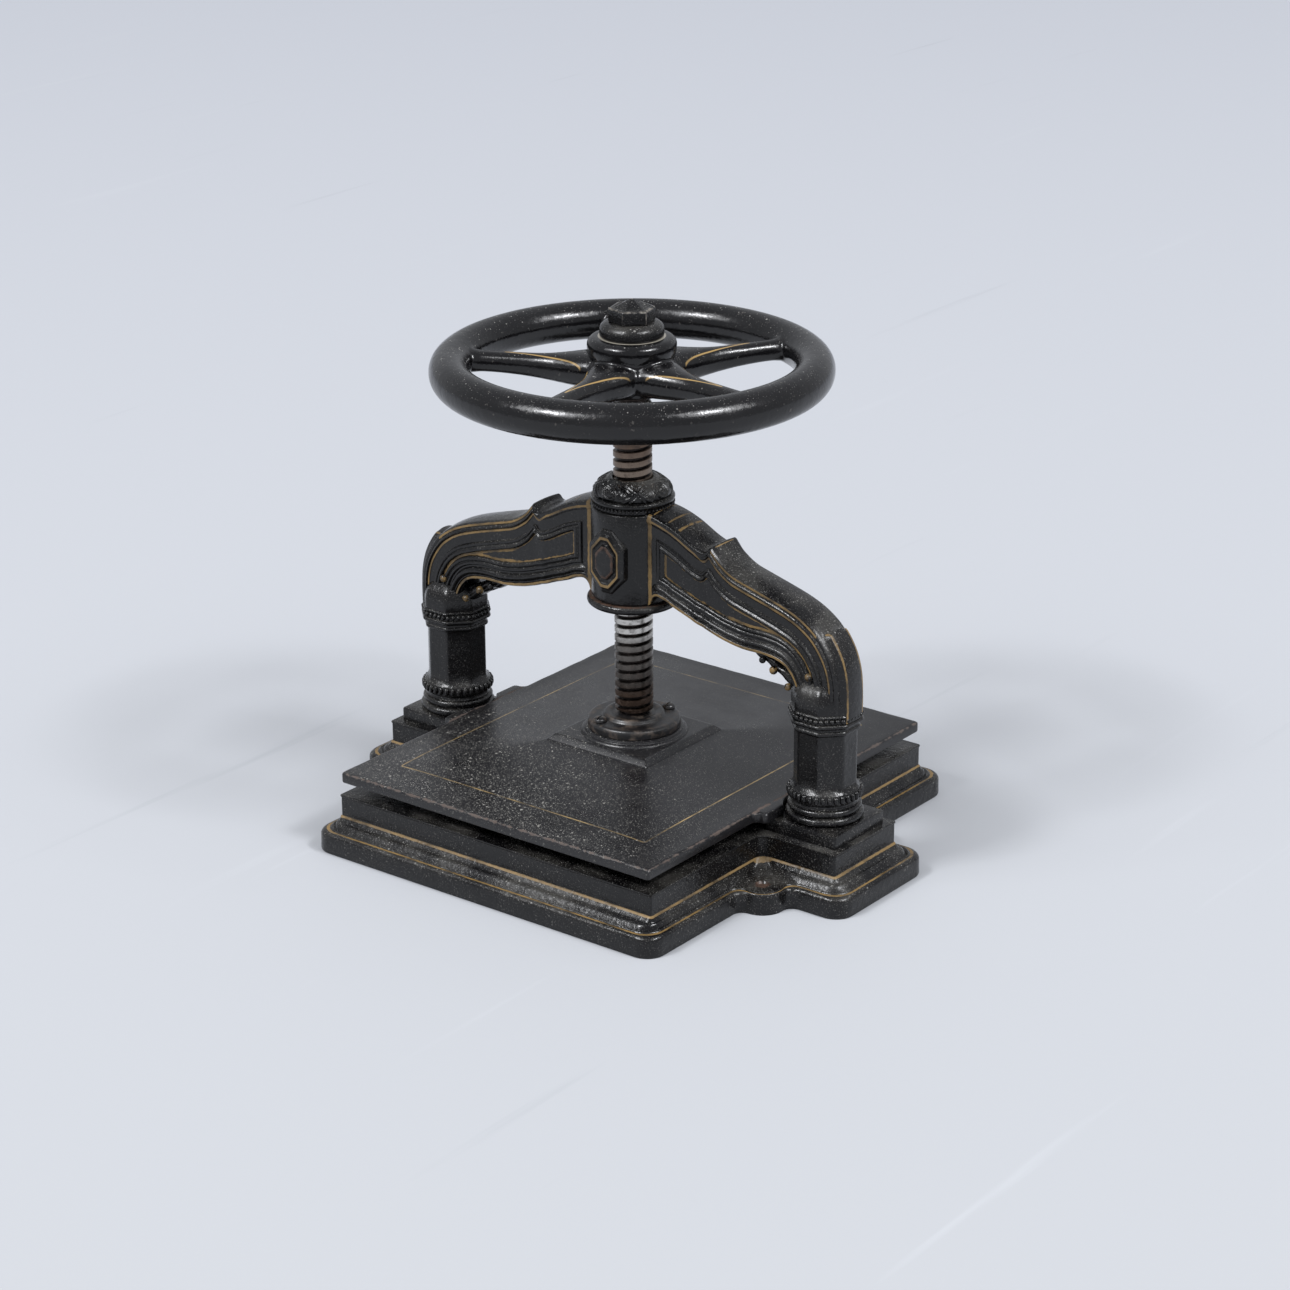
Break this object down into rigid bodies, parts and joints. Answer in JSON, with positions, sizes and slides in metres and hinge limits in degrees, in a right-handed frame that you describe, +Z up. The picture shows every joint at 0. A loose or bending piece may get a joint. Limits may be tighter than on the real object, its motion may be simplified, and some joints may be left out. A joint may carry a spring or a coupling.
{
  "type": "bookbinding press",
  "caption": "Cast-iron bookbinding press: moulded bed, arch on octagonal columns, square-threaded screw with spoked handwheel, and a guided crowned platen.",
  "frame": {"origin": "on the floor under the screw's axis, at the centre of the bed's underside", "axes": "+X along the line of the two columns, +Y from front to back, +Z up along the screw"},
  "size_m": [0.403, 0.33, 0.3618],
  "materials": {
    "japanned_iron": "aged gloss black japan over cast iron, with worn ochre-gold pinstripes",
    "platen_iron": "satin black paint rubbed grey, rusty at the edges",
    "screw_steel": "turned steel, bright on the worn thread crests and brown in the roots",
    "worn_steel": "dull dark steel",
    "nut_metal": "turned gunmetal, its flange painted black"
  },
  "bodies": {
    "frame": {"bed": "japanned_iron", "arch": "japanned_iron", "screw_nut": "nut_metal", "nut_lock_pin": "worn_steel", "dome_cap": "japanned_iron", "hold_down_bolt_left": "worn_steel", "hold_down_bolt_right": "worn_steel", "hold_down_washer_left": "worn_steel", "hold_down_washer_right": "worn_steel"},
    "platen": {"platen": "platen_iron", "thrust_pad": "worn_steel", "retaining_plate": "japanned_iron", "retaining_screw_front": "worn_steel", "retaining_screw_back": "worn_steel"},
    "screw": {"screw": "screw_steel", "screw_collar": "worn_steel", "collar_pin": "worn_steel", "handwheel": "japanned_iron", "hub_washer": "japanned_iron", "wheel_nut": "japanned_iron"}
  },
  "joints": [
    {"name": "platen_lift", "type": "slide", "parent": "frame", "child": "platen", "axis": [0, 0, 1], "range_m": [0, 0.07]},
    {"name": "screw_turn", "type": "hinge", "parent": "platen", "child": "screw", "pos_m": [0, 0, 0.2], "axis": [0, 0, 1], "range_deg": [0, 3965]}
  ],
  "couplings": [
    {"joint": "platen_lift", "follows": "screw_turn", "m_per_rad": 0.0010106}
  ]
}
